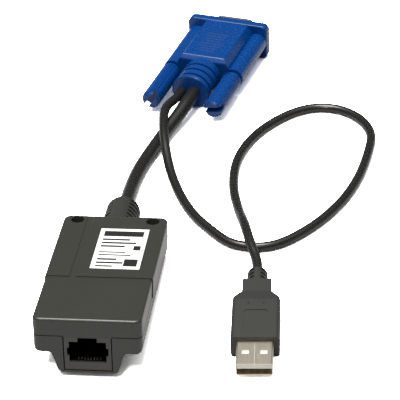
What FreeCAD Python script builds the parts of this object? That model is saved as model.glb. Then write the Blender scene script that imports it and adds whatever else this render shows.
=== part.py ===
import FreeCAD, Part
import math
import os
from FreeCAD import Placement, Rotation, Vector

# A server-room adapter: a black two-shell module with a modular jack on its front, a thick cord to a
# moulded video plug with two thumbscrews, and a thin cord from that plug to a USB plug.
# Millimetres, +Z up.  The origin is under the middle of the module, on the surface it lies on.
#
# Each assembly is modelled in a frame of its own and then laid in its place:
#   module: x across, y rearwards from the jack face, z up from the underside of the jack bulge
#   plugs:  x across, y forwards to the mating end, z up from the underside

# ---- module housing -------------------------------------------------------------------------
housingWidth = 35.6
housingLength = 72.0
cornerRadius = 2.4
wall = 1.6
bulgeDepth = 7.5            # the bulge round the jack hangs this far under the flat bottom
bulgeLength = 24.0
bulgeRamp = 5.0             # its rear slope
bulgeTopHalf = 11.9         # half widths of the bulge at its root and at its underside
bulgeFootHalf = 9.6
bulgeRootRound = 1.5
bulgeFootRound = 2.2
partingZ = 13.2
topZ = 19.6
topRound = 0.8
bottomRound = 2.0
skinStep = 0.3              # the rear part of the upper shell stands this far proud
skinStartTop = 28.2         # where that step lies on the top, and where it reaches the parting line
skinStartLow = 25.8
channelInset = 8.0          # shallow lengthwise channel in the proud part, from the left side
channelFloor = 1.7
channelSlope = 0.8
lipThickness = 0.7
lipHeight = 0.8
lipClearance = 0.12
lipRoot = 1.0
revealHeight = 0.3          # shadow gap round the parting line
revealDepth = 0.35

# ---- housing screws -------------------------------------------------------------------------
screwSideInset = 4.7        # from the side and from the rear face
screwInset = 3.4
wellRadius = 2.3
wellDepth = 4.6
wellWall = 1.1
screwHoleRadius = 1.25
screwHeadRadius = 2.0
screwHeadHeight = 1.5
screwShankRadius = 1.1
screwShankLength = 6.2
pilotClearance = 0.05
pilotEnd = 0.1              # room under the screw's tip
crossWidth = 0.55
crossLength = 2.4
crossDepth = 0.8
lowerBossRadius = 2.7
bossGap = 0.1

# ---- label ----------------------------------------------------------------------------------
labelSideInset = 5.1        # from the right side, and behind the step on the top
labelFrontInset = 6.0
labelWidth = 16.6
labelLength = 28.6
labelThickness = 0.15
labelRecess = 0.25
labelMargin = 0.15

# ---- modular jack ---------------------------------------------------------------------------
jackWidth = 15.3
jackLength = 18.0
jackBottomZ = 1.1
jackInset = 0.15            # the insert lies this far behind the shells' front
jackGap = 0.35
jackFloorZ = 3.9            # floor, shoulders and latch notch of the opening
jackShoulderZ = 11.3
jackLatchZ = 12.8
jackCavityHalf = 6.05
jackEarHalf = 6.75
jackEarLowZ = 6.2
jackEarHighZ = 9.1
jackLatchHalf = 3.15
jackCavityDepth = 14.5
jackSill = 1.6              # thickness of the lip in front of the contact trough
contactPitch = 1.02
contactCount = 8
contactWidth = 0.46
contactThickness = 0.3
contactRise = 2.3
contactReach = 6.5
troughHalf = 4.2
troughDepth = 1.0
tailSlotLength = 1.3
pegRadius = 0.8
pegX = 5.7
pegY = 7.0
pegClearance = 0.1

# ---- circuit board --------------------------------------------------------------------------
boardSideGap = 0.58         # from the locating lip
boardFront = 2.8
boardBossGap = 4.4          # from the screw bosses
boardThickness = 1.2
boardGap = 0.1              # board above the parting plane, the jack and its posts
postWidth = 1.6
postLength = 4.0
postInset = 1.5             # post centre from the board's edge
postFrontY = 22.0
postRearY = 54.0
controllerSize = 10.0
controllerHeight = 1.4
controllerX = -4.0
controllerGap = 5.5         # from the line driver behind it
driverSize = 7.0
driverHeight = 1.2
driverX = 4.0
driverGap = 4.3             # from the header behind it
crystalWidth = 5.0
crystalLength = 3.2
crystalHeight = 1.1
crystalInset = 6.8          # its middle from the board's side
capacitorRadius = 2.0
capacitorHeight = 3.4
capacitorY = 40.0
capacitorSpacing = 8.0
headerWidth = 12.0
headerLength = 5.0
headerHeight = 2.8
leadCount = 5
leadRadius = 0.45
leadSpread = 2.0            # spacing at the header, and where they leave the boot
leadBootSpread = 1.05

# ---- cord boot on the module ----------------------------------------------------------------
bootRadius = 6.1
bootLength = 17.8
bootEndRound = 1.7
bootNeckRadius = 3.2
bootFlangeRadius = 3.95
bootFlangeThickness = 1.9
bootGap = 0.15
bootGrooveCount = 6
bootGrooveFirst = 2.3
bootGroovePitch = 2.5
bootGrooveWidth = 1.1
bootGrooveDepth = 1.4
bootSpineHalf = 2.9

# ---- video plug -----------------------------------------------------------------------------
flangeWidth = 33.0
flangeHeight = 14.4
flangeThickness = 3.4
flangeSetback = 0.7         # its front face lies this far behind the steel plate's
flangeRound = 2.6
flangeEdge = 0.6
screwSpacing = 24.99        # standard jackscrew spacing of this shell size
hoodWidth = 20.8
hoodTopWidth = 17.0
hoodHeight = 14.0
hoodShoulder = 3.2          # its sides slope in over this height
hoodLength = 33.4           # plug face to the foot of the rear bevel
hoodBevel = 1.5
hoodRound = 0.8
hoodSideRound = 1.6
tunnelRadius = 3.8
tunnelLength = 33.6
webHeight = 6.4
reliefHalfRoot = 6.4        # half heights of the oval relief
reliefHalfEnd = 6.9
reliefOval = 0.7            # its half width is this much more
reliefRoot = 4.0            # how far it runs into the hood
reliefLength = 48.0         # plug face to the end of the relief
reliefEndRound = 0.5
reliefGrooveFirst = 37.3
reliefGroovePitch = 4.0
reliefGrooveCount = 3
reliefGrooveWidth = 1.0
reliefGrooveDepth = 1.1
gripGroups = 2
gripPerGroup = 4
gripPitch = 1.95
gripFirst = 14.0
gripHalf = 4.8              # half length of the first rib of a group
gripShrink = 0.55           # and how much each next one is shorter
gripWidth = 1.1
gripTop = 0.35
gripHeight = 0.4
plateWidth = 30.81          # steel flange of the shell
plateHeight = 12.5
plateThickness = 0.8
plateGap = 0.1
dWidth = 16.92              # outside of the D-shaped skirt at its wide side
dHeight = 8.36
dSlope = 10.0
dRound = 2.4
dDepth = 5.9
skirtWall = 0.45
dimpleCount = 3
dimpleRadius = 0.7
dimpleDepth = 0.25
dimplePitch = 4.3
insulatorBack = 7.0
insulatorFace = 0.6
pinRadius = 0.38
pinReach = 5.2
pinFit = 0.05
pinPitch = 2.29
pinRowPitch = 1.98
pinsPerRow = 5

# ---- thumbscrews ----------------------------------------------------------------------------
knobRadius = 3.65
knobLength = 24.4
knobGap = 0.4
knobNeckRadius = 2.9
knobNeckLength = 1.1
knobBands = 4               # bands of fine grooves round the knob
knobBandGrooves = 3
knobGroovePitch = 15.0      # degrees
knobBandTurn = 15.0         # degrees from the slot to the middle of a band
knobGrooveRadius = 0.4
knobGrooveDepth = 0.28
knobCollar = 2.0
knobEnd = 0.7
slotWidth = 1.8
slotDepth = 3.2
threadRadius = 1.42         # 4-40 thread outside
threadStart = 0.5
threadReach = 5.6
shaftRadius = 1.05          # the plain shank behind the thread
shaftFit = 0.2              # round the shank in the hood, which keeps the thread captive, and
                            # round the thread in the plate
shaftGrip = 14.0            # how far the steel runs into the knob
leftSlotAngle = 55.0
rightSlotAngle = 10.0

# ---- USB plug -------------------------------------------------------------------------------
usbShellWidth = 12.0
usbShellHeight = 4.5
usbShellWall = 0.3
usbShellReach = 12.1
usbShellTail = 6.0
usbShellRound = 0.6
usbSeamWidth = 0.14
usbWindowWidth = 2.3
usbWindowLength = 1.9
usbWindowX = 3.0
usbWindowFront = 4.7        # window edge from the overmould
usbTongueThickness = 1.9
usbTongueInset = 0.5
usbBlockReach = 2.2
usbFit = 0.05
usbContactWidth = 1.0
usbContactLength = 7.4
usbContactThickness = 0.15
usbContactX = (-3.5, -1.0, 1.0, 3.5)
usbBodyWidth = 16.1
usbBodyHeight = 8.0
usbBodyLength = 22.4
usbBodyRound = 1.4
usbShoulder = 4.2
usbNeckWidth = 9.8
usbNeckHeight = 7.0
usbNeckEnd = 33.9
usbBootRadius = 3.5
usbBootEnd = 41.7
usbGrooveCount = 3
usbGrooveFirst = 35.2
usbGroovePitch = 2.1
usbGrooveWidth = 0.8
usbGrooveDepth = 0.8
usbSpineHalf = 1.2
usbPanelWidth = 8.0
usbPanelFront = 2.4
usbPanelRear = 15.4
usbPanelDepth = 0.2
usbDotRadius = 0.4
usbDotX = 2.5
usbDotY = 19.0

# ---- cords and places on the surface --------------------------------------------------------
moduleCordDiameter = 5.2
usbCordDiameter = 3.5
videoPlace = Vector(26.6, 172.9, 0)
videoYaw = -13.7
usbPlace = Vector(52.7, -30.4, 0)
usbYaw = 3.4
moduleCordX = 1.5           # where the two cords enter the video plug's relief
usbCordX = -3.4
cordStart = 8.0
moduleCordStub = 7.0
usbCordStub = 5.8
usbCordEndStub = 7.0

# The points between the first and the last run of each cord, chosen by hand.
moduleCordRoute = [
    (0.2, 65.5, 3.3), (1.3, 77.0, 2.6), (4.0, 89.0, 2.6), (7.6, 101.0, 3.3), (12.2, 111.3, 5.6),
]
usbCordRoute = [
    (6.6, 112.0, 11.2), (8.4, 94.5, 11.2), (12.0, 79.0, 4.0), (17.2, 63.8, 1.8), (23.9, 49.5, 1.8),
    (31.4, 40.0, 1.8), (38.4, 32.1, 1.8), (47.0, 29.8, 1.8), (55.4, 31.8, 1.8), (63.6, 39.8, 1.8),
    (71.0, 50.0, 1.8), (78.0, 64.2, 1.8), (82.4, 79.5, 1.8), (84.8, 96.5, 1.8), (85.5, 108.0, 1.8),
    (80.9, 118.6, 1.8), (72.2, 125.6, 1.8), (61.6, 126.0, 1.8), (51.5, 119.2, 1.8), (41.4, 105.0, 1.8),
    (36.0, 87.5, 1.8), (36.4, 68.5, 1.8), (40.2, 52.0, 2.6), (43.6, 38.5, 8.8), (46.4, 27.0, 8.8),
]

# ---- worked out -----------------------------------------------------------------------------
flatZ = bulgeDepth
floorZ = flatZ + wall
ceilingZ = topZ - wall
boardZ = partingZ + boardGap
boardTopZ = boardZ + boardThickness
screwX = housingWidth / 2 - screwSideInset
screwY = housingLength - screwInset
boardWidth = housingWidth - 2 * (wall + lipClearance + lipThickness + boardSideGap)
boardLength = screwY - wellRadius - wellWall - boardBossGap - boardFront
headerY = boardFront + boardLength - headerLength
driverY = headerY - driverGap - driverSize / 2
controllerY = driverY - driverSize / 2 - controllerGap - controllerSize / 2
crystalX = boardWidth / 2 - crystalInset
labelLeft = housingWidth / 2 - labelSideInset - labelWidth
labelFront = skinStartTop + labelFrontInset
proudTopZ = topZ + skinStep
plugAxisZ = flangeHeight / 2
usbAxisZ = usbBodyHeight / 2
bootTipY = housingLength + bootLength
# The module lies on the rear edge of its bulge and on the end of its boot.
restAngle = math.degrees(math.atan2(partingZ - bootRadius, bootTipY - bootEndRound - bulgeLength))


def cuboid(x0, x1, y0, y1, z0, z1):
    return Part.makeBox(x1 - x0, y1 - y0, z1 - z0, Vector(x0, y0, z0))


def rod(radius, start, end):
    return Part.makeCylinder(radius, (end - start).Length, start, end - start)


def fuse(shapes):
    return shapes[0].multiFuse(shapes[1:]).removeSplitter()


def cut(shape, tools):
    for tool in tools:
        shape = shape.cut(tool)
    return shape


def cornerArc(before, corner, after, radius):
    """The arc that rounds a corner of a path: its start, middle and end."""
    back = (before - corner).normalize()
    ahead = (after - corner).normalize()
    halfTurn = (math.pi - back.getAngle(ahead)) / 2
    reach = radius * math.tan(halfTurn)
    middle = (back + ahead).normalize() * (radius / math.cos(halfTurn) - radius)
    return corner + back * reach, corner + middle, corner + ahead * reach


def roundedLoop(points, radii):
    """A closed wire through the points, with the corners rounded by their radii."""
    edges = []
    arcs = []
    for i, (corner, radius) in enumerate(zip(points, radii)):
        after = points[(i + 1) % len(points)]
        arcs.append(cornerArc(points[i - 1], corner, after, radius) if radius else (corner,) * 3)
    for i, (start, middle, end) in enumerate(arcs):
        if radii[i]:
            edges.append(Part.Arc(start, middle, end).toShape())
        follower = arcs[(i + 1) % len(arcs)][0]
        if (follower - end).Length > 1e-6:
            edges.append(Part.LineSegment(end, follower).toShape())
    return Part.Wire(edges)


def slab(wire, direction):
    return Part.Face(wire).extrude(direction)


def planBlock(x0, x1, y0, y1, z0, z1, radius):
    """A block with its upright edges rounded."""
    corners = [Vector(x0, y0, z0), Vector(x1, y0, z0), Vector(x1, y1, z0), Vector(x0, y1, z0)]
    return slab(roundedLoop(corners, [radius] * 4), Vector(0, 0, z1 - z0))


def endBlock(x0, x1, y0, y1, z0, z1, radius):
    """A block with its lengthwise edges rounded."""
    corners = [Vector(x0, y0, z0), Vector(x1, y0, z0), Vector(x1, y0, z1), Vector(x0, y0, z1)]
    return slab(roundedLoop(corners, [radius] * 4), Vector(0, y1 - y0, 0))


def levelEdges(shape, z):
    return [e for e in shape.Edges if all(abs(v.Z - z) < 1e-4 for v in e.Vertexes)]


def turned(profile, axisZ, angle=360):
    """A solid of revolution about the lengthwise axis, from (radius, y) pairs."""
    points = [Vector(radius, y, axisZ) for radius, y in profile]
    face = Part.Face(Part.makePolygon(points + points[:1]))
    return face.revolve(Vector(0, 0, axisZ), Vector(0, 1, 0), angle)


def ringGrooves(radius, depth, width, starts, axisZ, spineHalf):
    """Ring-shaped cutters, left out along a spine on the top and on the underside."""
    cutters = []
    for y in starts:
        outer = rod(radius + 1, Vector(0, y, axisZ), Vector(0, y + width, axisZ))
        core = rod(radius - depth, Vector(0, y - 1, axisZ), Vector(0, y + width + 1, axisZ))
        ring = outer.cut(core)
        if spineHalf:
            reach = radius + 2
            ring = ring.cut(cuboid(-spineHalf, spineHalf, y - 1, y + width + 1,
                                   axisZ - reach, axisZ + reach))
        cutters.append(ring)
    return cutters


# ---- module ---------------------------------------------------------------------------------
def planOutline(inset, z0, z1):
    half = housingWidth / 2 - inset
    radius = max(cornerRadius - inset, 0.6)
    return planBlock(-half, half, inset, housingLength - inset, z0, z1, radius)


def upperOutside():
    """The capped outside of the upper shell, with its rear part standing proud."""
    base = planOutline(0, partingZ, topZ)
    base = base.makeFillet(topRound, levelEdges(base, topZ))
    skin = planOutline(-skinStep, partingZ, proudTopZ)
    skin = skin.makeFillet(topRound, levelEdges(skin, proudTopZ))
    half = housingWidth
    low, high = Vector(-half, skinStartLow, partingZ - 1), Vector(-half, skinStartTop, proudTopZ + 1)
    middle = Vector(-half, skinStartTop - 0.4, (partingZ + topZ) / 2)
    rear = housingLength + 5
    region = Part.Wire([
        Part.Arc(low, middle, high).toShape(),
        Part.LineSegment(high, Vector(-half, rear, high.z)).toShape(),
        Part.LineSegment(Vector(-half, rear, high.z), Vector(-half, rear, low.z)).toShape(),
        Part.LineSegment(Vector(-half, rear, low.z), low).toShape(),
    ])
    skin = skin.common(slab(region, Vector(2 * half, 0, 0)))
    left = channelInset - housingWidth / 2
    floorRight = left + channelFloor
    right = floorRight + channelSlope
    channel = Part.makePolygon([
        Vector(left, skinStartLow, topZ), Vector(floorRight, skinStartLow, topZ),
        Vector(right, skinStartLow, proudTopZ), Vector(right, skinStartLow, proudTopZ + 1),
        Vector(left, skinStartLow, proudTopZ + 1), Vector(left, skinStartLow, topZ),
    ])
    skin = skin.cut(slab(channel, Vector(0, housingLength, 0)))
    return fuse([base, skin])


def bootHole():
    radius = bootNeckRadius + bootGap
    return rod(radius, Vector(0, housingLength - 2 * wall, partingZ), Vector(0, housingLength + 2, partingZ))


def reveal():
    """The shadow gap along the parting line, left out over the jack."""
    top = partingZ + revealHeight
    mouth = jackWidth / 2 + jackGap
    inside = planOutline(revealDepth, partingZ - 2, top + 1)
    ring = planOutline(-skinStep - 1, partingZ - 1, top).cut(inside)
    return ring.cut(cuboid(-mouth, mouth, -skinStep - 2, wall, partingZ - 2, top + 1))


def upperShell():
    outside = upperOutside()
    shell = outside.cut(planOutline(wall, partingZ - 1, ceilingZ))
    wellFloorZ = proudTopZ - wellDepth
    additions = [shell]
    for side in (-1, 1):
        boss = rod(wellRadius + wellWall, Vector(side * screwX, screwY, partingZ + bossGap),
                   Vector(side * screwX, screwY, proudTopZ))
        additions.append(boss.common(outside))
        edge = side * (boardWidth / 2 - postInset)
        for y in (postFrontY, postRearY):
            additions.append(cuboid(edge - postWidth / 2, edge + postWidth / 2, y, y + postLength,
                                    boardTopZ + boardGap, ceilingZ + wall / 2))
    shell = fuse(additions)
    cutters = [bootHole(), reveal()]
    for side in (-1, 1):
        at = Vector(side * screwX, screwY, wellFloorZ)
        cutters.append(rod(wellRadius, at, at + Vector(0, 0, wellDepth + 1)))
        cutters.append(rod(screwHoleRadius, Vector(at.x, at.y, partingZ - 1), at + Vector(0, 0, 1)))
    cutters.append(cuboid(labelLeft - labelMargin, labelLeft + labelWidth + labelMargin,
                          labelFront - labelMargin, labelFront + labelLength + labelMargin,
                          proudTopZ - labelRecess, proudTopZ + 1))
    return cut(shell, cutters)


def bulge():
    """The trapezoid bulge that holds the jack, with its rear ramp."""
    flank = bulgeTopHalf + bulgeRootRound + 1
    z0, z1 = flatZ, flatZ + wall / 2
    section = [
        Vector(-flank, 0, z1), Vector(-flank, 0, z0), Vector(-bulgeTopHalf, 0, z0),
        Vector(-bulgeFootHalf, 0, 0), Vector(bulgeFootHalf, 0, 0), Vector(bulgeTopHalf, 0, z0),
        Vector(flank, 0, z0), Vector(flank, 0, z1),
    ]
    radii = [0, 0, bulgeRootRound, bulgeFootRound, bulgeFootRound, bulgeRootRound, 0, 0]
    body = slab(roundedLoop(section, radii), Vector(0, bulgeLength + bulgeRamp, 0))
    ramp = Part.makePolygon([
        Vector(-flank, bulgeLength, -0.01), Vector(-flank, bulgeLength + bulgeRamp, z0),
        Vector(-flank, bulgeLength + bulgeRamp + 1, z0), Vector(-flank, bulgeLength + bulgeRamp + 1, -0.01),
        Vector(-flank, bulgeLength, -0.01),
    ])
    return body.cut(slab(ramp, Vector(2 * flank, 0, 0)))


def lowerShell():
    half = housingWidth / 2
    section = [Vector(-half, 0, partingZ), Vector(-half, 0, flatZ), Vector(half, 0, flatZ),
               Vector(half, 0, partingZ)]
    tray = slab(roundedLoop(section, [0, bottomRound, bottomRound, 0]), Vector(0, housingLength, 0))
    tray = tray.common(planOutline(0, flatZ, partingZ)).cut(planOutline(wall, floorZ, partingZ + 1))
    lipFoot = planOutline(wall - 0.3, partingZ - lipRoot, partingZ)
    lipTop = planOutline(wall + lipClearance, partingZ, partingZ + lipHeight)
    lip = lipFoot.fuse(lipTop).cut(
        planOutline(wall + lipClearance + lipThickness, partingZ - 2, partingZ + 2))
    mouth = jackWidth / 2 + jackGap
    throat = bootFlangeRadius + lipClearance
    cutters = [
        cuboid(-mouth, mouth, -1, 4, partingZ - 2, partingZ + 2),
        cuboid(-throat, throat, housingLength - 4, housingLength - wall, partingZ - 2, partingZ + 2),
    ]
    for side in (-1, 1):
        cutters.append(rod(wellRadius + wellWall + lipClearance, Vector(side * screwX, screwY, partingZ),
                           Vector(side * screwX, screwY, partingZ + 2)))
    lip = cut(lip, cutters)
    solids = [tray, bulge(), lip]
    for side in (-1, 1):
        boss = rod(lowerBossRadius, Vector(side * screwX, screwY, flatZ + wall / 2),
                   Vector(side * screwX, screwY, partingZ))
        solids.append(boss.common(planOutline(wall / 2, flatZ, partingZ + 1)))
        edge = side * (boardWidth / 2 - postInset)
        for y in (postFrontY, postRearY):
            solids.append(cuboid(edge - postWidth / 2, edge + postWidth / 2, y, y + postLength,
                                 floorZ - wall / 2, boardZ - boardGap / 2))
    shell = fuse(solids)
    pocketEnd = jackInset + jackLength + jackGap
    cutters = [
        cuboid(-mouth, mouth, -1, pocketEnd, jackBottomZ - jackGap, partingZ + 2),
        bootHole(),
    ]
    pilotZ = proudTopZ - wellDepth - screwShankLength - pilotEnd
    for side in (-1, 1):
        cutters.append(rod(screwShankRadius + pilotClearance, Vector(side * screwX, screwY, pilotZ),
                           Vector(side * screwX, screwY, partingZ + 1)))
    return cut(shell, cutters)


def housingScrew(side):
    seat = Vector(side * screwX, screwY, proudTopZ - wellDepth)
    head = rod(screwHeadRadius, seat, seat + Vector(0, 0, screwHeadHeight))
    head = head.makeFillet(screwHeadHeight / 2, levelEdges(head, seat.z + screwHeadHeight))
    shank = rod(screwShankRadius, seat - Vector(0, 0, screwShankLength), seat)
    shank = shank.makeChamfer(screwShankRadius / 2, levelEdges(shank, seat.z - screwShankLength))
    top = seat.z + screwHeadHeight
    slots = []
    for wide, long in ((crossWidth, crossLength), (crossLength, crossWidth)):
        slots.append(cuboid(seat.x - wide / 2, seat.x + wide / 2, seat.y - long / 2, seat.y + long / 2,
                            top - crossDepth, top + 1))
    return cut(fuse([head, shank]), slots)


def blankLabel():
    z = proudTopZ - labelRecess
    return cuboid(labelLeft, labelLeft + labelWidth, labelFront, labelFront + labelLength,
                  z, z + labelThickness)


def jackHousing():
    front, back = jackInset, jackInset + jackLength
    half = jackWidth / 2
    body = cuboid(-half, half, front, back, jackBottomZ, partingZ)
    profile = []
    for x, z in ((jackCavityHalf, jackFloorZ), (jackCavityHalf, jackEarLowZ), (jackEarHalf, jackEarLowZ),
                 (jackEarHalf, jackEarHighZ), (jackCavityHalf, jackEarHighZ),
                 (jackCavityHalf, jackShoulderZ), (jackLatchHalf, jackShoulderZ),
                 (jackLatchHalf, jackLatchZ)):
        profile.append(Vector(x, front - 1, z))
    outline = profile + [Vector(-p.x, p.y, p.z) for p in reversed(profile)]
    cavity = slab(Part.makePolygon(outline + outline[:1]), Vector(0, jackCavityDepth + 1, 0))
    troughZ = jackFloorZ - troughDepth
    tailY = front + jackCavityDepth
    trough = cuboid(-troughHalf, troughHalf, front + jackSill, tailY + tailSlotLength,
                    troughZ, jackFloorZ + 0.5)
    tailSlot = cuboid(-troughHalf, troughHalf, tailY, tailY + tailSlotLength, troughZ, partingZ + 1)
    pegs = [rod(pegRadius, Vector(side * pegX, pegY, partingZ - 0.5), Vector(side * pegX, pegY, boardTopZ))
            for side in (-1, 1)]
    return cut(fuse([body] + pegs), [cavity, trough, tailSlot])


def jackContacts():
    """Eight bent springs: each rises from the front of the trough and runs back to the board."""
    z = jackFloorZ - troughDepth
    y0 = jackInset + jackSill + 0.6
    tailY = jackInset + jackCavityDepth + tailSlotLength / 2
    t = contactThickness
    outline = [
        (y0 + contactReach, z + contactRise + t), (y0 + contactReach, z + contactRise + 2 * t),
        (y0, z + t), (y0, z), (tailY + t / 2, z), (tailY + t / 2, boardZ), (tailY - t / 2, boardZ),
        (tailY - t / 2, z + t), (y0 + 1.2, z + t),
    ]
    springs = []
    for i in range(contactCount):
        x = (i - (contactCount - 1) / 2) * contactPitch - contactWidth / 2
        points = [Vector(x, y, z) for y, z in outline]
        springs.append(slab(Part.makePolygon(points + points[:1]), Vector(contactWidth, 0, 0)))
    return Part.makeCompound(springs)


def circuitBoard():
    board = planBlock(-boardWidth / 2, boardWidth / 2, boardFront, boardFront + boardLength,
                      boardZ, boardTopZ, 1.0)
    holes = [rod(pegRadius + pegClearance, Vector(side * pegX, pegY, boardZ - 1),
                 Vector(side * pegX, pegY, boardTopZ + 1)) for side in (-1, 1)]
    return cut(board, holes)


def chip(x, y, width, length, height):
    return cuboid(x - width / 2, x + width / 2, y - length / 2, y + length / 2,
                  boardTopZ, boardTopZ + height)


def boardCapacitors():
    cans = []
    for side in (-1, 1):
        top = Vector(side * capacitorSpacing / 2, capacitorY, boardZ)
        cans.append(rod(capacitorRadius, top - Vector(0, 0, capacitorHeight), top))
    return Part.makeCompound(cans)


def innerLeads():
    """The cord's conductors, from the boot's inner face to the board header."""
    start = Vector(0, housingLength - wall - bootGap - bootFlangeThickness, partingZ)
    end = Vector(0, headerY + headerLength, boardTopZ + headerHeight / 2)
    leads = []
    for i in range(leadCount):
        place = i - (leadCount - 1) / 2
        a = start + Vector(place * leadBootSpread, 0, 0)
        b = end + Vector(place * leadSpread, 0, 0)
        third = (a.y - b.y) / 3
        leads.append(tube([a, a - Vector(0, third, 0), b + Vector(0, third, 0), b], leadRadius))
    return Part.makeCompound(leads)


def cordBoot():
    wallBack = housingLength + skinStep + bootGap
    flangeBack = housingLength - wall - bootGap
    profile = [
        (0, flangeBack - bootFlangeThickness), (bootFlangeRadius, flangeBack - bootFlangeThickness),
        (bootFlangeRadius, flangeBack), (bootNeckRadius, flangeBack), (bootNeckRadius, wallBack),
        (bootRadius, wallBack), (bootRadius, bootTipY), (0, bootTipY),
    ]
    boot = turned(profile, partingZ)
    tip = [e for e in boot.Edges if all(abs(v.Y - bootTipY) < 1e-4 for v in e.Vertexes)
           and abs(e.BoundBox.XMax - bootRadius) < 1e-3]
    boot = boot.makeFillet(bootEndRound, tip)
    starts = [housingLength + bootGrooveFirst + i * bootGroovePitch for i in range(bootGrooveCount)]
    return cut(boot, ringGrooves(bootRadius, bootGrooveDepth, bootGrooveWidth, starts,
                                 partingZ, bootSpineHalf))


# ---- cords ----------------------------------------------------------------------------------
def tube(points, radius, name=None):
    """A round cord along straight runs, joined by arcs as large as the two runs allow."""
    edges = []
    start = points[0]
    turns = []
    for before, corner, after in zip(points, points[1:], points[2:]):
        halfTurn = (math.pi - (before - corner).getAngle(after - corner)) / 2
        shorter = min((corner - before).Length, (after - corner).Length)
        bend = 0.45 * shorter / math.tan(halfTurn)
        turns.append(bend)
        first, middle, last = cornerArc(before, corner, after, bend)
        edges += [Part.LineSegment(start, first).toShape(), Part.Arc(first, middle, last).toShape()]
        start = last
    edges.append(Part.LineSegment(start, points[-1]).toShape())
    path = Part.Wire(edges)
    ring = Part.Wire(Part.makeCircle(radius, points[0], points[1] - points[0]))
    cord = path.makePipeShell([ring], True, True)
    if name:
        expected = math.pi * radius ** 2 * path.Length
        print(name, "length %.1f" % path.Length, "volume ratio %.4f" % (cord.Volume / expected))
        print("  radii", " ".join("%.0f" % bend for bend in turns))
    return cord


# ---- video plug -----------------------------------------------------------------------------
def dOutline(inset, y):
    """The D-shaped outline of the skirt, wide side up, taken in by an inset."""
    halfHigh = dHeight / 2 - inset
    lean = math.tan(math.radians(dSlope))
    halfTop = dWidth / 2 - inset / math.cos(math.radians(dSlope)) - inset * lean
    halfLow = halfTop - 2 * halfHigh * lean
    radius = max(dRound - inset, 0.5)
    points = [
        Vector(-halfTop, y, plugAxisZ + halfHigh), Vector(-halfLow, y, plugAxisZ - halfHigh),
        Vector(halfLow, y, plugAxisZ - halfHigh), Vector(halfTop, y, plugAxisZ + halfHigh),
    ]
    return roundedLoop(points, [radius] * 4)


def gripRibs():
    """Two groups of low ridges across the top of the hood, each narrowing rearwards."""
    ribs = []
    z0, z1 = hoodTopZ() - 0.5, hoodTopZ() + gripHeight
    for i in range(gripGroups * gripPerGroup):
        y = -gripFirst - i * gripPitch
        half = gripHalf - (i % gripPerGroup) * gripShrink
        foot, top = gripWidth / 2, gripTop / 2
        points = [Vector(-half, y - foot, z0), Vector(-half, y - foot, hoodTopZ()),
                  Vector(-half, y - top, z1), Vector(-half, y + top, z1),
                  Vector(-half, y + foot, hoodTopZ()), Vector(-half, y + foot, z0)]
        ribs.append(slab(Part.makePolygon(points + points[:1]), Vector(2 * half, 0, 0)))
    return ribs


def hoodTopZ():
    return plugAxisZ + hoodHeight / 2


def ovalLoop(inset, half, y):
    """The relief's oval outline at one place along the plug, from its half height."""
    ellipse = Part.Wire(Part.Ellipse(Vector(), half + reliefOval - inset, half - inset).toShape())
    ellipse.rotate(Vector(), Vector(1, 0, 0), 90)
    ellipse.translate(Vector(0, y, plugAxisZ))
    return ellipse


def cordRelief():
    """The oval strain relief behind the hood, with rings cut into it."""
    body = Part.makeLoft([
        ovalLoop(0, reliefHalfRoot, -hoodLength + reliefRoot),
        ovalLoop(0, reliefHalfEnd, -reliefLength + reliefEndRound),
        ovalLoop(reliefEndRound, reliefHalfEnd, -reliefLength),
    ], True, True)
    width = Vector(0, -reliefGrooveWidth, 0)
    for i in range(reliefGrooveCount):
        y = -reliefGrooveFirst - i * reliefGroovePitch
        core = slab(ovalLoop(reliefGrooveDepth, reliefHalfEnd, y), width)
        body = body.cut(slab(ovalLoop(-1, reliefHalfEnd, y), width).cut(core))
    return body


def hoodCentre():
    """The raised middle of the hood: sloping sides and a bevelled rear end."""
    top, low, high = hoodTopWidth / 2, plugAxisZ - hoodHeight / 2, hoodTopZ()
    side, y = hoodWidth / 2, -flangeSetback - flangeThickness / 2
    section = [
        Vector(-top, 0, low), Vector(top, 0, low), Vector(side, 0, low + hoodShoulder),
        Vector(side, 0, high - hoodShoulder), Vector(top, 0, high), Vector(-top, 0, high),
        Vector(-side, 0, high - hoodShoulder), Vector(-side, 0, low + hoodShoulder),
    ]
    radii = [hoodRound, hoodRound, hoodSideRound, hoodSideRound] * 2
    across = slab(roundedLoop(section, radii), Vector(0, -hoodLength - 1, 0))
    profile = [
        Vector(-side, y, low), Vector(-side, -hoodLength + hoodBevel, low),
        Vector(-side, -hoodLength, low + hoodBevel), Vector(-side, -hoodLength, high - hoodBevel),
        Vector(-side, -hoodLength + hoodBevel, high), Vector(-side, y, high),
    ]
    radii = [0, hoodRound, hoodRound, hoodRound, hoodRound, 0]
    return across.common(slab(roundedLoop(profile, radii), Vector(2 * side, 0, 0)))


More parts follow.
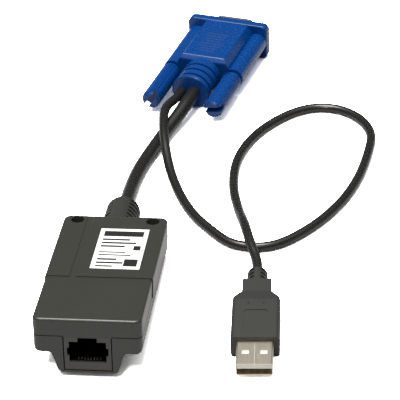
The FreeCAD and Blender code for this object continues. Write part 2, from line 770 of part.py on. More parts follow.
def videoHood():
    half = flangeWidth / 2
    rear = -flangeSetback - flangeThickness
    flange = endBlock(-half, half, rear, -flangeSetback, 0, flangeHeight, flangeRound)
    flange = flange.makeFillet(flangeEdge, [e for e in flange.Edges
                                            if all(abs(v.Y - rear) < 1e-4 for v in e.Vertexes)])
    solids = [flange, hoodCentre(), cordRelief()] + gripRibs()
    tunnelX = screwSpacing / 2
    inside = -flangeSetback - flangeThickness / 2
    for x in (-tunnelX, tunnelX):
        solids.append(rod(tunnelRadius, Vector(x, -tunnelLength, plugAxisZ), Vector(x, inside, plugAxisZ)))
    solids.append(cuboid(-tunnelX, tunnelX, -hoodLength + hoodBevel, inside,
                         plugAxisZ - webHeight / 2, plugAxisZ + webHeight / 2))
    cutters = [
        cuboid(-plateWidth / 2 - plateGap, plateWidth / 2 + plateGap, -plateThickness, 1,
               plugAxisZ - plateHeight / 2 - plateGap, plugAxisZ + plateHeight / 2 + plateGap),
        slab(dOutline(skirtWall, 1), Vector(0, -insulatorBack - 1, 0)),
    ]
    for x in (-tunnelX, tunnelX):
        cutters.append(rod(shaftRadius + shaftFit, Vector(x, -tunnelLength - 1, plugAxisZ),
                           Vector(x, 1, plugAxisZ)))
    return cut(fuse(solids), cutters)


def videoShell():
    """The steel flange and its D-shaped skirt, with the contact dimples along the skirt's long sides."""
    halfW, halfH = plateWidth / 2, plateHeight / 2
    plate = endBlock(-halfW, halfW, -plateThickness, 0, plugAxisZ - halfH, plugAxisZ + halfH, 1.2)
    skirt = slab(dOutline(0, -plateThickness), Vector(0, plateThickness + dDepth, 0))
    shell = fuse([plate, skirt])
    inside = slab(dOutline(skirtWall, -plateThickness - 1), Vector(0, plateThickness + dDepth + 2, 0))
    cutters = [inside]
    for x in (-screwSpacing / 2, screwSpacing / 2):
        cutters.append(rod(threadRadius + shaftFit, Vector(x, -plateThickness - 1, plugAxisZ),
                           Vector(x, 1, plugAxisZ)))
    sink = dimpleRadius - dimpleDepth
    for i in range(dimpleCount):
        x = (i - (dimpleCount - 1) / 2) * dimplePitch
        for up in (-1, 1):
            at = Vector(x, dDepth * 0.55, plugAxisZ + up * (dHeight / 2 + sink))
            cutters.append(Part.makeSphere(dimpleRadius, at))
    return cut(shell, cutters)


def videoInsulator():
    block = slab(dOutline(skirtWall + pinFit, -insulatorBack), Vector(0, insulatorBack + insulatorFace, 0))
    back, front = Vector(0, -insulatorBack - 1, 0), Vector(0, pinReach, 0)
    return cut(block, [rod(pinRadius + pinFit, p + back, p + front) for p in pinPlaces()])


def pinPlaces():
    places = []
    for row in range(3):
        shift = (0.25, -0.25, 0.25)[row] * pinPitch
        for i in range(pinsPerRow):
            x = (i - (pinsPerRow - 1) / 2) * pinPitch + shift
            places.append(Vector(x, 0, plugAxisZ + (1 - row) * pinRowPitch))
    return places


def videoPins():
    pins = []
    for p in pinPlaces():
        start = Vector(p.x, -insulatorBack, p.z)
        end = Vector(p.x, pinReach, p.z)
        pin = rod(pinRadius, start, end)
        tip = [e for e in pin.Edges if all(abs(v.Y - pinReach) < 1e-4 for v in e.Vertexes)]
        pins.append(pin.makeChamfer(pinRadius / 2, tip))
    return Part.makeCompound(pins)


def groovedBar(start, end):
    """A bar with bands of fine lengthwise grooves, between two places along the plug."""
    bar = Part.Face(Part.Wire(Part.makeCircle(knobRadius, Vector(0, start, plugAxisZ), Vector(0, 1, 0))))
    reach = knobRadius + knobGrooveRadius - knobGrooveDepth
    for band in range(knobBands):
        for i in range(knobBandGrooves):
            turn = knobBandTurn + band * 360 / knobBands + (i - (knobBandGrooves - 1) / 2) * knobGroovePitch
            angle = math.radians(turn)
            at = Vector(reach * math.cos(angle), start, plugAxisZ + reach * math.sin(angle))
            bar = bar.cut(Part.Face(Part.Wire(Part.makeCircle(knobGrooveRadius, at, Vector(0, 1, 0)))))
    return bar.extrude(Vector(0, end - start, 0))


def thumbscrewKnob(x, slotAngle):
    """A moulded knob: a neck, a plain collar, grooved bands and a driver slot in its end."""
    front = -tunnelLength - knobGap
    back = front - knobLength
    shoulder = front - knobNeckLength
    collar = turned([
        (0, front), (knobNeckRadius, front), (knobNeckRadius, shoulder), (knobRadius - 0.3, shoulder),
        (knobRadius, shoulder - 0.3), (knobRadius, front - knobCollar), (0, front - knobCollar),
    ], plugAxisZ)
    tip = turned([(0, back + knobEnd), (knobRadius - knobGrooveDepth, back + knobEnd),
                  (knobRadius - knobGrooveDepth - knobEnd, back), (0, back)], plugAxisZ)
    knob = fuse([collar, groovedBar(back + knobEnd, front - knobCollar), tip])
    slot = cuboid(-knobRadius - 1, knobRadius + 1, back - 1, back + slotDepth,
                  plugAxisZ - slotWidth / 2, plugAxisZ + slotWidth / 2)
    bore = rod(shaftRadius, Vector(0, front - shaftGrip, plugAxisZ), Vector(0, front + 1, plugAxisZ))
    knob = cut(knob, [slot, bore])
    knob.rotate(Vector(0, 0, plugAxisZ), Vector(0, -1, 0), slotAngle)
    knob.translate(Vector(x, 0, 0))
    return knob


def thumbscrewShaft(x):
    """The steel screw: a plain shank from inside the knob and a thicker thread in front of the plate."""
    back = -tunnelLength - knobGap - shaftGrip
    profile = [
        (0, back), (shaftRadius, back), (shaftRadius, threadStart), (threadRadius, threadStart),
        (threadRadius, threadReach - 0.5), (threadRadius - 0.5, threadReach), (0, threadReach),
    ]
    shaft = turned(profile, plugAxisZ)
    shaft.translate(Vector(x, 0, 0))
    return shaft


# ---- USB plug -------------------------------------------------------------------------------
def usbInside(inset, y0, y1):
    w, h = usbShellWidth / 2 - inset, usbShellHeight / 2 - inset
    return endBlock(-w, w, y0, y1, usbAxisZ - h, usbAxisZ + h, max(usbShellRound - inset, 0.2))


def usbShell():
    """The folded steel shell: open in front, a seam along its top and two windows on each wide side."""
    back, front = -usbShellTail, usbShellReach
    shell = usbInside(0, back, front).cut(usbInside(usbShellWall, back - 1, front + 1))
    top = usbAxisZ + usbShellHeight / 2
    cutters = [cuboid(-usbSeamWidth / 2, usbSeamWidth / 2, back - 1, front + 1,
                      top - usbShellWall - 0.1, top + 1)]
    for x in (-usbWindowX, usbWindowX):
        cutters.append(cuboid(x - usbWindowWidth / 2, x + usbWindowWidth / 2, usbWindowFront,
                              usbWindowFront + usbWindowLength, usbAxisZ - 5, usbAxisZ + 5))
    return cut(shell, cutters)


def usbTongueBottom():
    return usbAxisZ + usbShellHeight / 2 - usbShellWall - usbFit - usbTongueThickness


def usbInsulator():
    block = usbInside(usbShellWall + usbFit, -usbShellTail, usbBlockReach)
    half = usbShellWidth / 2 - usbShellWall - usbFit
    tongue = usbInside(usbShellWall + usbFit, 0, usbShellReach - usbTongueInset).common(
        cuboid(-half, half, 0, usbShellReach, usbTongueBottom(), usbAxisZ + usbShellHeight))
    return fuse([block, tongue])


def usbContacts():
    z = usbTongueBottom()
    y1 = usbShellReach - usbTongueInset - 0.8
    strips = [cuboid(x - usbContactWidth / 2, x + usbContactWidth / 2, y1 - usbContactLength, y1,
                     z - usbContactThickness, z) for x in usbContactX]
    return Part.makeCompound(strips)


def usbOvermould():
    """The grip: a slab with sloped shoulders, a neck and a ribbed boot, moulded as one."""
    half, neck = usbBodyWidth / 2, usbNeckWidth / 2
    shoulderEnd = usbBodyLength + usbShoulder
    plan = [
        Vector(-half, 0, 0), Vector(-half, -usbBodyLength, 0), Vector(-neck, -shoulderEnd, 0),
        Vector(-neck, -usbNeckEnd, 0), Vector(neck, -usbNeckEnd, 0), Vector(neck, -shoulderEnd, 0),
        Vector(half, -usbBodyLength, 0), Vector(half, 0, 0),
    ]
    body = slab(roundedLoop(plan, [0.4, 2.0, 1.5, 0.8, 0.8, 1.5, 2.0, 0.4]), Vector(0, 0, usbBodyHeight))
    body = body.common(endBlock(-half, half, -usbNeckEnd, 0, 0, usbBodyHeight, usbBodyRound))
    drop = (usbBodyHeight - usbNeckHeight) / 2
    slopes = []
    for z, away in ((0, drop), (usbBodyHeight, -drop)):
        wedge = Part.makePolygon([
            Vector(-half - 1, -usbBodyLength + 1, z), Vector(-half - 1, -shoulderEnd, z + away),
            Vector(-half - 1, -usbNeckEnd - 1, z + away), Vector(-half - 1, -usbNeckEnd - 1, z - away),
            Vector(-half - 1, -usbBodyLength + 1, z - away), Vector(-half - 1, -usbBodyLength + 1, z),
        ])
        slopes.append(slab(wedge, Vector(2 * half + 2, 0, 0)))
    body = cut(body, slopes)
    boot = turned([(0, -usbNeckEnd + 2), (usbBootRadius, -usbNeckEnd + 2),
                   (usbBootRadius, -usbBootEnd + 0.8),
                   (usbBootRadius - 0.8, -usbBootEnd), (0, -usbBootEnd)], usbAxisZ)
    starts = [-usbGrooveFirst - i * usbGroovePitch - usbGrooveWidth for i in range(usbGrooveCount)]
    boot = cut(boot, ringGrooves(usbBootRadius, usbGrooveDepth, usbGrooveWidth, starts,
                                 usbAxisZ, usbSpineHalf))
    grip = fuse([body, boot])
    panel = planBlock(-usbPanelWidth / 2, usbPanelWidth / 2, -usbPanelRear, -usbPanelFront,
                      usbBodyHeight - usbPanelDepth, usbBodyHeight + 1, 1.4)
    panelFloor = usbBodyHeight - usbPanelDepth
    dots = [rod(usbDotRadius, Vector(x, -usbDotY, panelFloor), Vector(x, -usbDotY, usbBodyHeight + 1))
            for x in (-usbDotX, usbDotX)]
    socket = usbInside(0, -usbShellTail, 1)
    return cut(grip, [panel, socket] + dots)


# ---- the whole part -------------------------------------------------------------------------
def moduleNodes():
    return {
        "upper_shell": upperShell(),
        "lower_shell": lowerShell(),
        "housing_screw_left": housingScrew(-1),
        "housing_screw_right": housingScrew(1),
        "blank_label": blankLabel(),
        "jack_housing": jackHousing(),
        "jack_contacts": jackContacts(),
        "circuit_board": circuitBoard(),
        "controller_chip": chip(controllerX, controllerY, controllerSize, controllerSize, controllerHeight),
        "line_driver_chip": chip(driverX, driverY, driverSize, driverSize, driverHeight),
        "crystal": chip(crystalX, controllerY, crystalWidth, crystalLength, crystalHeight),
        "board_capacitors": boardCapacitors(),
        "board_header": chip(0, headerY + headerLength / 2, headerWidth, headerLength, headerHeight),
        "inner_leads": innerLeads(),
        "cord_boot": cordBoot(),
    }


def videoNodes():
    x = screwSpacing / 2
    return {
        "video_hood": videoHood(),
        "video_shell": videoShell(),
        "video_insulator": videoInsulator(),
        "video_pins": videoPins(),
        "thumbscrew_left_knob": thumbscrewKnob(-x, leftSlotAngle),
        "thumbscrew_left_shaft": thumbscrewShaft(-x),
        "thumbscrew_right_knob": thumbscrewKnob(x, rightSlotAngle),
        "thumbscrew_right_shaft": thumbscrewShaft(x),
    }


def usbNodes():
    return {
        "usb_overmould": usbOvermould(),
        "usb_shell": usbShell(),
        "usb_insulator": usbInsulator(),
        "usb_contacts": usbContacts(),
    }


def placed(nodes, placement):
    result = {}
    for name, shape in nodes.items():
        copy = shape.copy()
        copy.Placement = placement.multiply(copy.Placement)
        result[name] = copy
    return result


def modulePlacement(nodes):
    """Tilted onto its bulge and boot, then centred over the origin with its lowest edge on the surface."""
    tilt = Placement(Vector(), Rotation(Vector(1, 0, 0), -restAngle))
    bounds = Part.makeCompound(list(placed(nodes, tilt).values())).optimalBoundingBox(False, False)
    centre = Vector(-bounds.Center.x, -bounds.Center.y, -bounds.ZMin)
    return Placement(centre, Rotation()).multiply(tilt)


def atPlug(place, yaw, point):
    return Placement(place, Rotation(Vector(0, 0, 1), yaw)).multVec(point)


def moduleCord(placement):
    start = placement.multVec(Vector(0, bootTipY, partingZ))
    ahead = placement.multVec(Vector(0, bootTipY + cordStart, partingZ))
    entry = atPlug(videoPlace, videoYaw, Vector(moduleCordX, -reliefLength, plugAxisZ))
    before = atPlug(videoPlace, videoYaw, Vector(moduleCordX, -reliefLength - moduleCordStub, plugAxisZ))
    points = [start, ahead] + [Vector(*p) for p in moduleCordRoute] + [before, entry]
    return tube(points, moduleCordDiameter / 2, "module cord")


def usbCord():
    start = atPlug(videoPlace, videoYaw, Vector(usbCordX, -reliefLength, plugAxisZ))
    ahead = atPlug(videoPlace, videoYaw, Vector(usbCordX, -reliefLength - usbCordStub, plugAxisZ))
    entry = atPlug(usbPlace, usbYaw + 180, Vector(0, -usbBootEnd, usbAxisZ))
    before = atPlug(usbPlace, usbYaw + 180, Vector(0, -usbBootEnd - usbCordEndStub, usbAxisZ))
    points = [start, ahead] + [Vector(*p) for p in usbCordRoute] + [before, entry]
    return tube(points, usbCordDiameter / 2, "usb cord")


def main():
    module = moduleNodes()
    placement = modulePlacement(module)
    nodes = placed(module, placement)
    nodes.update(placed(videoNodes(), Placement(videoPlace, Rotation(Vector(0, 0, 1), videoYaw))))
    nodes.update(placed(usbNodes(), Placement(usbPlace, Rotation(Vector(0, 0, 1), usbYaw + 180))))
    nodes["module_cord"] = moduleCord(placement)
    nodes["usb_cord"] = usbCord()
    os.makedirs("parts", exist_ok=True)
    for name, shape in nodes.items():
        shape.exportStep("parts/%s.step" % name)
        box = shape.optimalBoundingBox(False, False)
        print("%-24s valid %s solids %d volume %.1f  x %.1f..%.1f y %.1f..%.1f z %.2f..%.2f" % (
            name, shape.isValid(), len(shape.Solids), shape.Volume,
            box.XMin, box.XMax, box.YMin, box.YMax, box.ZMin, box.ZMax))
    print("rest angle %.2f" % restAngle, "module at", placement.Base)


main()
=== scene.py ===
import math
import bpy
from mathutils import Matrix, Vector


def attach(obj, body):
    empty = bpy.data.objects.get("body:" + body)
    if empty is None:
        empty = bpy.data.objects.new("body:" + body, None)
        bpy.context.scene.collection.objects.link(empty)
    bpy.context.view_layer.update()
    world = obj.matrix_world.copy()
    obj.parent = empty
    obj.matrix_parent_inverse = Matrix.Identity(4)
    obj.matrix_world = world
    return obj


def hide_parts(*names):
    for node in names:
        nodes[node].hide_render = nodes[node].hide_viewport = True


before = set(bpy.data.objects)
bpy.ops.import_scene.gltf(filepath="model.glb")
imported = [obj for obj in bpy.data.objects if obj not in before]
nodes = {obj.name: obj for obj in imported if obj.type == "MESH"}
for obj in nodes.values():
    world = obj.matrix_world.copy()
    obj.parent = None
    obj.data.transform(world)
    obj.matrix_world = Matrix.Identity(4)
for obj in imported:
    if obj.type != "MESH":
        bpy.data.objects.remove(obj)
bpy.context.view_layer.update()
print("frame loaded:", len(nodes), "nodes")

mm = 0.001
white = (1, 1, 1, 1)

# places of the sockets of a colour Mix node, whose names repeat
mixFactor = 0
mixFrom = 6
mixTo = 7
mixResult = 2


def toLinear(hexColour):
    # sRGB hex to the linear values that a shader socket takes, by the sRGB curve
    linear = []
    for start in (1, 3, 5):
        channel = int(hexColour[start:start + 2], 16) / 255
        if channel <= 0.04045:
            linear.append(channel / 12.92)
        else:
            linear.append(((channel + 0.055) / 1.055) ** 2.4)
    return linear + [1.0]


def addNode(tree, kind, settings=None, sockets=None):
    # one node with its settings; a socket takes a value, or the output of another node
    node = tree.nodes.new(kind)
    for name, value in (settings or {}).items():
        setattr(node, name, value)
    for name, value in (sockets or {}).items():
        if isinstance(value, bpy.types.NodeSocket):
            tree.links.new(value, node.inputs[name])
        else:
            node.inputs[name].default_value = value
    return node


def newMaterial(name):
    # an empty node material and its tree
    material = bpy.data.materials.new(name)
    material.use_nodes = True
    material.node_tree.nodes.clear()
    return material, material.node_tree


def dress(nodeName, material):
    # gives a CAD node one material
    mesh = nodes[nodeName].data
    mesh.materials.clear()
    mesh.materials.append(material)


# a long lens, looking down on the part from the jack's side
camera = {
    "place": (110.18, -632.55, 455.83),     # mm
    "aim": (25.20, 61.95, 0.0),             # mm
    "roll": -2.2,                           # degrees
    "lens": 208.2,                          # mm
    "sensor": 36,                           # mm
    "nearest": 0.01,                        # m
    "farthest": 20,                         # m
}
place = Vector(camera["place"]) * mm
ahead = (Vector(camera["aim"]) * mm - place).normalized()
right = ahead.cross(Vector((0, 0, 1))).normalized()
up = right.cross(ahead)
roll = math.radians(camera["roll"])
tiltedRight = right * math.cos(roll) + up * math.sin(roll)
tiltedUp = up * math.cos(roll) - right * math.sin(roll)
bpy.ops.object.camera_add()
viewer = bpy.context.object
viewer.name = "viewer"
axes = Matrix((tiltedRight, tiltedUp, -ahead)).transposed()
viewer.matrix_world = Matrix.Translation(place) @ axes.to_4x4()
viewer.data.lens = camera["lens"]
viewer.data.sensor_width = camera["sensor"]
viewer.data.clip_start = camera["nearest"]
viewer.data.clip_end = camera["farthest"]
bpy.context.scene.camera = viewer
bpy.context.scene.view_settings.view_transform = "Standard"
print("camera set")


# how the surface of every moulded plastic varies
mouldGrain = {
    "patchDetail": 3.0,
    "gritDetail": 2.0,
    "gritContrast": 0.6,
    "smoother": 0.06,           # off the roughness between the grains
    "rougher": 0.08,            # on top of it where they stand up
    "specular": 0.5,
}

# ABS moulded in a fine spark-eroded tool: dark grey, satin, with soft broad highlights
mouldedHousing = {
    "colour": "#32332E",
    "shade": "#2D2E29",
    "roughness": 0.30,
    "gritSize": 0.35,           # mm, drawn coarser than the tool's real 0.1 mm, to show
    "gritDepth": 0.012,         # mm
    "patchSize": 18,            # mm
}


def makeMoulded(name, values):
    # injection moulded plastic: the tool's even fine grain softens its highlights
    material, tree = newMaterial(name)
    coords = addNode(tree, "ShaderNodeTexCoord")
    patches = addNode(tree, "ShaderNodeTexNoise", None, {
        "Vector": coords.outputs["Object"], "Scale": 1 / (values["patchSize"] * mm),
        "Detail": mouldGrain["patchDetail"]})
    colour = addNode(tree, "ShaderNodeMix", {"data_type": "RGBA"}, {
        mixFactor: patches.outputs["Fac"], mixFrom: toLinear(values["shade"]),
        mixTo: toLinear(values["colour"])})
    if "inside" in values:
        # painted shade: hardly any light comes back from behind the face, so its grey is painted
        # black there
        depth = addNode(tree, "ShaderNodeVectorMath", {"operation": "DOT_PRODUCT"}, {
            0: coords.outputs["Object"], 1: values["faceNormal"]})
        behind = addNode(tree, "ShaderNodeMapRange", None, {
            "Value": depth.outputs["Value"], "From Min": values["faceDepth"] * mm,
            "From Max": (values["faceDepth"] + values["faceBand"]) * mm})
        colour = addNode(tree, "ShaderNodeMix", {"data_type": "RGBA"}, {
            mixFactor: behind.outputs["Result"], mixFrom: colour.outputs[mixResult],
            mixTo: toLinear(values["inside"])})
    grit = addNode(tree, "ShaderNodeTexNoise", None, {
        "Vector": coords.outputs["Object"], "Scale": 1 / (values["gritSize"] * mm),
        "Detail": mouldGrain["gritDetail"], "Roughness": mouldGrain["gritContrast"]})
    rough = addNode(tree, "ShaderNodeMapRange", None, {
        "Value": grit.outputs["Fac"], "To Min": values["roughness"] - mouldGrain["smoother"],
        "To Max": values["roughness"] + mouldGrain["rougher"]})
    bump = addNode(tree, "ShaderNodeBump", None, {
        "Height": grit.outputs["Fac"], "Distance": values["gritDepth"] * mm, "Strength": 1.0})
    shader = addNode(tree, "ShaderNodeBsdfPrincipled", None, {
        "Base Color": colour.outputs[mixResult], "Roughness": rough.outputs["Result"],
        "Normal": bump.outputs["Normal"],
        "Specular IOR Level": values.get("specular", mouldGrain["specular"])})
    addNode(tree, "ShaderNodeOutputMaterial", None, {"Surface": shader.outputs["BSDF"]})
    return material


# the sizes of grain and patch below are in mm; the grain is drawn coarser than it is, to show

# blue PVC moulded over the video plug: deep colour, smooth enough for narrow bright edges
hoodPvc = {
    "colour": "#003A7B",
    "shade": "#003573",
    "specular": 0.40,
    "roughness": 0.25,
    "gritSize": 0.45,
    "gritDepth": 0.007,
    "patchSize": 12,
}
# PVC jacket extruded round the leads: near black, with one long sheen
cordPvc = {
    "colour": "#1F1F1C",
    "shade": "#1A1A18",
    "roughness": 0.26,
    "gritSize": 0.5,
    "gritDepth": 0.006,
    "patchSize": 9,
}
# soft PVC moulded over the plug and the boot: matt dark grey
plugPvc = {
    "colour": "#2C2D29",
    "shade": "#272825",
    "roughness": 0.44,
    "gritSize": 0.3,
    "gritDepth": 0.010,
    "patchSize": 10,
}
# glass-filled polyester of the jack: a shade paler and duller than the housing
jackPlastic = {
    "colour": "#3E3E3A",
    "shade": "#383834",
    # painted shade: the cavity past the jack's face is painted near black
    "inside": "#050505",
    "faceNormal": (0, 0.9939, -0.1101),     # straight into the jack
    "faceDepth": -44.9,                     # mm along that line
    "faceBand": 0.5,                        # mm over which the grey turns to the painted shade
    "roughness": 0.38,
    "gritSize": 0.3,
    "gritDepth": 0.004,
    "patchSize": 6,
}
# moulded nylon of the tongue and the header: warm white, even
whiteNylon = {
    "colour": "#E9E7DF",
    "shade": "#DEDCD3",
    "roughness": 0.45,
    "gritSize": 0.4,
    "gritDepth": 0.004,
    "patchSize": 5,
}

# nickel-plated steel strip, folded: warm pale metal with soft reflections
platedSteel = {
    "colour": "#E6DCCB",
    "roughness": 0.30,
    "smoother": 0.05,           # off the roughness, in the drawing lines
    "rougher": 0.12,            # on top of it, between them
    "streakLength": 6.0,        # mm, drawing lines of the strip it was folded from
    "streakWidth": 0.12,        # mm
    "streakDepth": 0.004,       # mm
    "streakStrength": 0.6,
    "streakDetail": 3.0,
}


def makePlated(name, values):
    # bright plating over drawn strip: faint lines along it break up the reflections
    material, tree = newMaterial(name)
    coords = addNode(tree, "ShaderNodeTexCoord")
    acrossStrip = 1 / (values["streakWidth"] * mm)
    alongStrip = 1 / (values["streakLength"] * mm)
    stretch = addNode(tree, "ShaderNodeMapping", None, {
        "Vector": coords.outputs["Object"], "Scale": (acrossStrip, alongStrip, acrossStrip)})
    streaks = addNode(tree, "ShaderNodeTexNoise", None, {
        "Vector": stretch.outputs["Vector"], "Scale": 1.0, "Detail": values["streakDetail"]})
    rough = addNode(tree, "ShaderNodeMapRange", None, {
        "Value": streaks.outputs["Fac"], "To Min": values["roughness"] - values["smoother"],
        "To Max": values["roughness"] + values["rougher"]})
    bump = addNode(tree, "ShaderNodeBump", None, {
        "Height": streaks.outputs["Fac"], "Distance": values["streakDepth"] * mm,
        "Strength": values["streakStrength"]})
    shader = addNode(tree, "ShaderNodeBsdfPrincipled", None, {
        "Base Color": toLinear(values["colour"]), "Metallic": 1.0,
        "Roughness": rough.outputs["Result"], "Normal": bump.outputs["Normal"]})
    addNode(tree, "ShaderNodeOutputMaterial", None, {"Surface": shader.outputs["BSDF"]})
    return material


# the jack's eight springs, of phosphor bronze wire, with painted shade along them and a painted
# highlight on their front ends
jackSprings = {
    # painted shade: the dark colour along the spring
    "colour": "#1F170D",
    # painted highlight: the pale colour of the front ends
    "paintedHighlightTipColour": "#F2E6CC",
    "tipEnds": -41.2,           # mm along the part, where the painted highlight on the front ends begins
    "tipBand": 0.8,             # mm over which they turn pale
    "roughness": 0.30,
}


def makeSprings(name, values):
    # painted shade darkens the spring in the jack, and a painted highlight makes its front end
    # pale
    material, tree = newMaterial(name)
    coords = addNode(tree, "ShaderNodeTexCoord")
    place = addNode(tree, "ShaderNodeSeparateXYZ", None, {"Vector": coords.outputs["Object"]})
    # mask of the painted highlight on the front ends
    paintedLitTips = addNode(tree, "ShaderNodeMapRange", None, {
        "Value": place.outputs["Y"], "From Min": values["tipEnds"] * mm,
        "From Max": (values["tipEnds"] - values["tipBand"]) * mm})
    colour = addNode(tree, "ShaderNodeMix", {"data_type": "RGBA"}, {
        mixFactor: paintedLitTips.outputs["Result"], mixFrom: toLinear(values["colour"]),
        mixTo: toLinear(values["paintedHighlightTipColour"])})
    shader = addNode(tree, "ShaderNodeBsdfPrincipled", None, {
        "Base Color": colour.outputs[mixResult], "Metallic": 1.0,
        "Roughness": values["roughness"]})
    addNode(tree, "ShaderNodeOutputMaterial", None, {"Surface": shader.outputs["BSDF"]})
    return material


# white polypropylene film with black print: the brightest face of the part
printedLabel = {
    "film": "#F6F6F4",
    "ink": "#23231F",
    "roughness": 0.30,
    # plain bars: middle across, middle along, width, length, in mm in the part's frame
    "bars": [
        (4.4, 15.4, 13.6, 3.8), (2.3, 11.2, 9.4, 1.2), (3.5, 8.8, 11.8, 1.2),
        (1.7, 6.4, 8.2, 1.2), (10.1, 5.4, 2.4, 3.2), (2.1, 2.2, 9.0, 0.8),
        (3.1, 0.2, 11.0, 0.8), (9.2, -5.0, 4.6, 5.0), (0.9, -2.8, 6.6, 1.2),
        (2.1, -5.2, 9.0, 1.2), (0.5, -7.6, 5.8, 1.0),
    ],
}


def makeLabel(name, values):
    # glossy film with plain bars that spell nothing, each within its width and its length
    material, tree = newMaterial(name)
    coords = addNode(tree, "ShaderNodeTexCoord")
    place = addNode(tree, "ShaderNodeSeparateXYZ", None, {"Vector": coords.outputs["Object"]})
    printed = None
    for across, along, width, length in values["bars"]:
        inWidth = addNode(tree, "ShaderNodeMath", {"operation": "COMPARE"}, {
            0: place.outputs["X"], 1: across * mm, 2: width / 2 * mm})
        inLength = addNode(tree, "ShaderNodeMath", {"operation": "COMPARE"}, {
            0: place.outputs["Y"], 1: along * mm, 2: length / 2 * mm})
        bar = addNode(tree, "ShaderNodeMath", {"operation": "MULTIPLY"}, {
            0: inWidth.outputs["Value"], 1: inLength.outputs["Value"]})
        if printed:
            bar = addNode(tree, "ShaderNodeMath", {"operation": "MAXIMUM"}, {
                0: printed.outputs["Value"], 1: bar.outputs["Value"]})
        printed = bar
    colour = addNode(tree, "ShaderNodeMix", {"data_type": "RGBA"}, {
        mixFactor: printed.outputs["Value"], mixFrom: toLinear(values["film"]),
        mixTo: toLinear(values["ink"])})
    shader = addNode(tree, "ShaderNodeBsdfPrincipled", None, {
        "Base Color": colour.outputs[mixResult], "Roughness": values["roughness"]})
    addNode(tree, "ShaderNodeOutputMaterial", None, {"Surface": shader.outputs["BSDF"]})
    return material


housingAbs = makeMoulded("mouldedAbs", mouldedHousing)
springBronze = makeSprings("phosphorBronzeWire", jackSprings)
bluePvc = makeMoulded("blueMouldedPvc", hoodPvc)
jacketPvc = makeMoulded("extrudedPvcJacket", cordPvc)
gripPvc = makeMoulded("mouldedPvcGrip", plugPvc)
jackResin = makeMoulded("glassFilledPolyester", jackPlastic)
nylon = makeMoulded("whiteNylon", whiteNylon)
steel = makePlated("nickelPlatedSteel", platedSteel)
film = makeLabel("printedLabelFilm", printedLabel)

# small and hidden pieces take another piece's surface in their own colour
gold = makePlated("goldPlatedBronze", dict(platedSteel, colour="#E2B765", roughness=0.18))
boardMask = makeMoulded("solderMask", dict(
    plugPvc, colour="#0E5A33", shade="#0B4E2C", roughness=0.3))
epoxy = makeMoulded("mouldedEpoxy", dict(plugPvc, colour="#1C1C1C", shade="#181818"))
blackOxide = makePlated("blackOxideSteel", dict(platedSteel, colour="#3A3936", roughness=0.35))
leadPvc = makeMoulded("redLeadInsulation", dict(cordPvc, colour="#7A1F1C", shade="#6C1B18"))

# the finish of each CAD node; the two cords get theirs as they are laid
finishes = {
    "upper_shell": housingAbs, "lower_shell": housingAbs, "cord_boot": gripPvc,
    "blank_label": film, "jack_housing": jackResin, "jack_contacts": springBronze,
    "circuit_board": boardMask, "controller_chip": epoxy, "line_driver_chip": epoxy,
    "crystal": steel, "board_capacitors": steel, "board_header": nylon,
    "inner_leads": leadPvc, "housing_screw_left": blackOxide,
    "housing_screw_right": blackOxide, "video_hood": bluePvc, "video_insulator": bluePvc,
    "video_shell": steel, "video_pins": gold, "thumbscrew_left_knob": bluePvc,
    "thumbscrew_right_knob": bluePvc, "thumbscrew_left_shaft": steel,
    "thumbscrew_right_shaft": steel, "usb_overmould": gripPvc, "usb_shell": steel,
    "usb_insulator": nylon, "usb_contacts": gold,
}
for nodeName, material in finishes.items():
    dress(nodeName, material)
print("finishes on the frame nodes")


# how finely a cord's round section and its line are divided
cordSteps = {
    "round": 6,
    "along": 16,
}


def layCord(name, route, diameter, material):
    # one smooth line drawn by the given route, with the jacket's round section
    curve = bpy.data.curves.new(name, "CURVE")
    curve.dimensions = "3D"
    curve.bevel_depth = diameter / 2 * mm
    curve.bevel_resolution = cordSteps["round"]
    curve.resolution_u = cordSteps["along"]
    curve.use_fill_caps = True
    spline = curve.splines.new("NURBS")
    spline.points.add(len(route) - 1)
    for point, at in zip(spline.points, route):
        point.co = (at[0] * mm, at[1] * mm, at[2] * mm, 1)
    spline.order_u = 3      # set after the points, or the line stays straight runs
    spline.use_endpoint_u = True
    curve.materials.append(material)
    cord = bpy.data.objects.new(name, curve)
    bpy.context.scene.collection.objects.link(cord)
    return cord


# the thick cord, from the housing's boot to the relief of the video plug, all in mm
moduleCord = {
    "diameter": 5.2,
    "length": 83.9,
    "route": [
        (0.0, 45.1, 5.89), (0.0, 53.1, 5.01), (0.2, 65.5, 3.3), (1.3, 77.0, 2.6),
        (4.0, 89.0, 2.6), (7.6, 101.0, 3.3), (12.2, 111.3, 5.6), (15.0, 119.1, 7.2),
        (16.7, 125.9, 7.2),
    ],
}
# the thin cord, from that relief over the thick one, round its loop and over itself
usbCord = {
    "diameter": 3.5,
    "length": 366.7,
    "route": [
        (11.9, 127.1, 7.2), (10.6, 121.4, 7.2), (6.6, 112.0, 8.2), (8.4, 94.5, 8.2),
        (12.0, 79.0, 3.2), (17.2, 63.8, 1.8), (23.9, 49.5, 1.8), (31.4, 40.0, 1.8),
        (38.4, 32.1, 1.8), (47.0, 29.8, 1.8), (55.4, 31.8, 1.8), (63.6, 39.8, 1.8),
        (71.0, 50.0, 1.8), (78.0, 64.2, 1.8), (82.4, 79.5, 1.8), (84.8, 96.5, 1.8),
        (85.5, 108.0, 1.8), (80.9, 118.6, 1.8), (72.2, 125.6, 1.8), (61.6, 126.0, 1.8),
        (51.5, 119.2, 1.8), (41.4, 105.0, 1.8), (36.0, 87.5, 1.8), (36.4, 68.5, 1.8),
        (40.2, 52.0, 2.2), (43.6, 38.5, 5.8), (46.4, 27.0, 5.8), (49.8, 18.2, 4.0),
        (50.2, 11.2, 4.0),
    ],
}
thickCord = layCord("thickCord", moduleCord["route"], moduleCord["diameter"], jacketPvc)
thinCord = layCord("thinCord", usbCord["route"], usbCord["diameter"], jacketPvc)
videoPieces = [nodes[n] for n in nodes if n.startswith(("video_", "thumbscrew_"))]
usbPieces = [nodes[n] for n in nodes if n.startswith("usb_") and n != "usb_cord"]
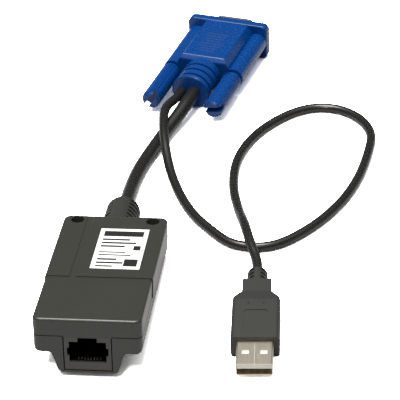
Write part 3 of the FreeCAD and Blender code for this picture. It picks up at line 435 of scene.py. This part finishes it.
for piece, values, node, ending, pieces in (
        (thickCord, moduleCord, "module_cord", "connector", videoPieces),
        (thinCord, usbCord, "usb_cord", "plug", usbPieces)):
    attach(piece, "root")
    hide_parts(node)
print("cords laid")


# places and sizes in m, powers in W
studio = {
    "floor": "#BCBCBC",
    "floorSeen": 4.2,
    "floorSize": 4.0,
    "zenith": 1.35,             # strength of the light tent straight above
    "horizon": 0.10,            # and round its sides
    "tentEdge": 0.68,           # sine of the height where it begins to brighten
    "tentSeen": 1.0,            # its strength where the camera looks at it
    "lampAim": (0.03, 0.06, 0),
    "keyPlace": (-0.07, 0.10, 0.95),
    "keySize": 0.50,
    "keyPower": 12.5,
    "keyColour": (1, 0.99, 0.97),
    "frontPlace": (-0.05, -0.62, 0.80),
    "frontSize": 0.14,
    "frontPower": 2.8,
    "frontColour": (1, 0.97, 0.93),
}


def lightFloor():
    bpy.ops.mesh.primitive_plane_add(size=studio["floorSize"], location=(0, 0, 0))
    floor = bpy.context.object
    floor.name = "paleFloor"
    material, tree = newMaterial("paleFloorPaint")
    # overexposed white paper where the camera looks at it, modest in what it throws back
    path = addNode(tree, "ShaderNodeLightPath")
    colour = addNode(tree, "ShaderNodeMix", {"data_type": "RGBA"}, {
        mixFactor: path.outputs["Is Camera Ray"], mixFrom: toLinear(studio["floor"]),
        mixTo: [studio["floorSeen"]] * 3 + [1.0]})
    shader = addNode(tree, "ShaderNodeBsdfDiffuse", None, {
        "Color": colour.outputs[mixResult], "Roughness": 0.0})
    addNode(tree, "ShaderNodeOutputMaterial", None, {"Surface": shader.outputs["BSDF"]})
    floor.data.materials.append(material)


def addArea(name, place, size, power, colour):
    # a round panel lamp turned towards the part
    light = bpy.data.lights.new(name, "AREA")
    light.shape = "DISK"
    light.size = size
    light.energy = power
    light.color = colour
    lamp = bpy.data.objects.new(name, light)
    bpy.context.scene.collection.objects.link(lamp)
    lamp.location = place
    aim = Vector(studio["lampAim"]) - Vector(place)
    lamp.rotation_euler = aim.to_track_quat("-Z", "Y").to_euler()


def lightSky():
    # a tent of light, bright above and dim at the sides, plain white where the camera sees it
    world = bpy.data.worlds.new("lightTent")
    bpy.context.scene.world = world
    world.use_nodes = True
    tree = world.node_tree
    tree.nodes.clear()
    coords = addNode(tree, "ShaderNodeTexCoord")
    height = addNode(tree, "ShaderNodeSeparateXYZ", None, {"Vector": coords.outputs["Generated"]})
    strength = addNode(tree, "ShaderNodeMapRange", None, {
        "Value": height.outputs["Z"], "From Min": studio["tentEdge"], "From Max": 1.0,
        "To Min": studio["horizon"], "To Max": studio["zenith"]})
    tent = addNode(tree, "ShaderNodeBackground", None, {
        "Color": white, "Strength": strength.outputs["Result"]})
    seen = addNode(tree, "ShaderNodeBackground", None, {
        "Color": white, "Strength": studio["tentSeen"]})
    path = addNode(tree, "ShaderNodeLightPath")
    mix = addNode(tree, "ShaderNodeMixShader", None, {
        0: path.outputs["Is Camera Ray"], 1: tent.outputs["Background"],
        2: seen.outputs["Background"]})
    addNode(tree, "ShaderNodeOutputWorld", None, {"Surface": mix.outputs["Shader"]})


lightFloor()
lightSky()
for lampName, prefix in (("keyPanel", "key"), ("frontPanel", "front")):
    addArea(lampName, studio[prefix + "Place"], studio[prefix + "Size"],
            studio[prefix + "Power"], studio[prefix + "Colour"])
print("floor and light set")
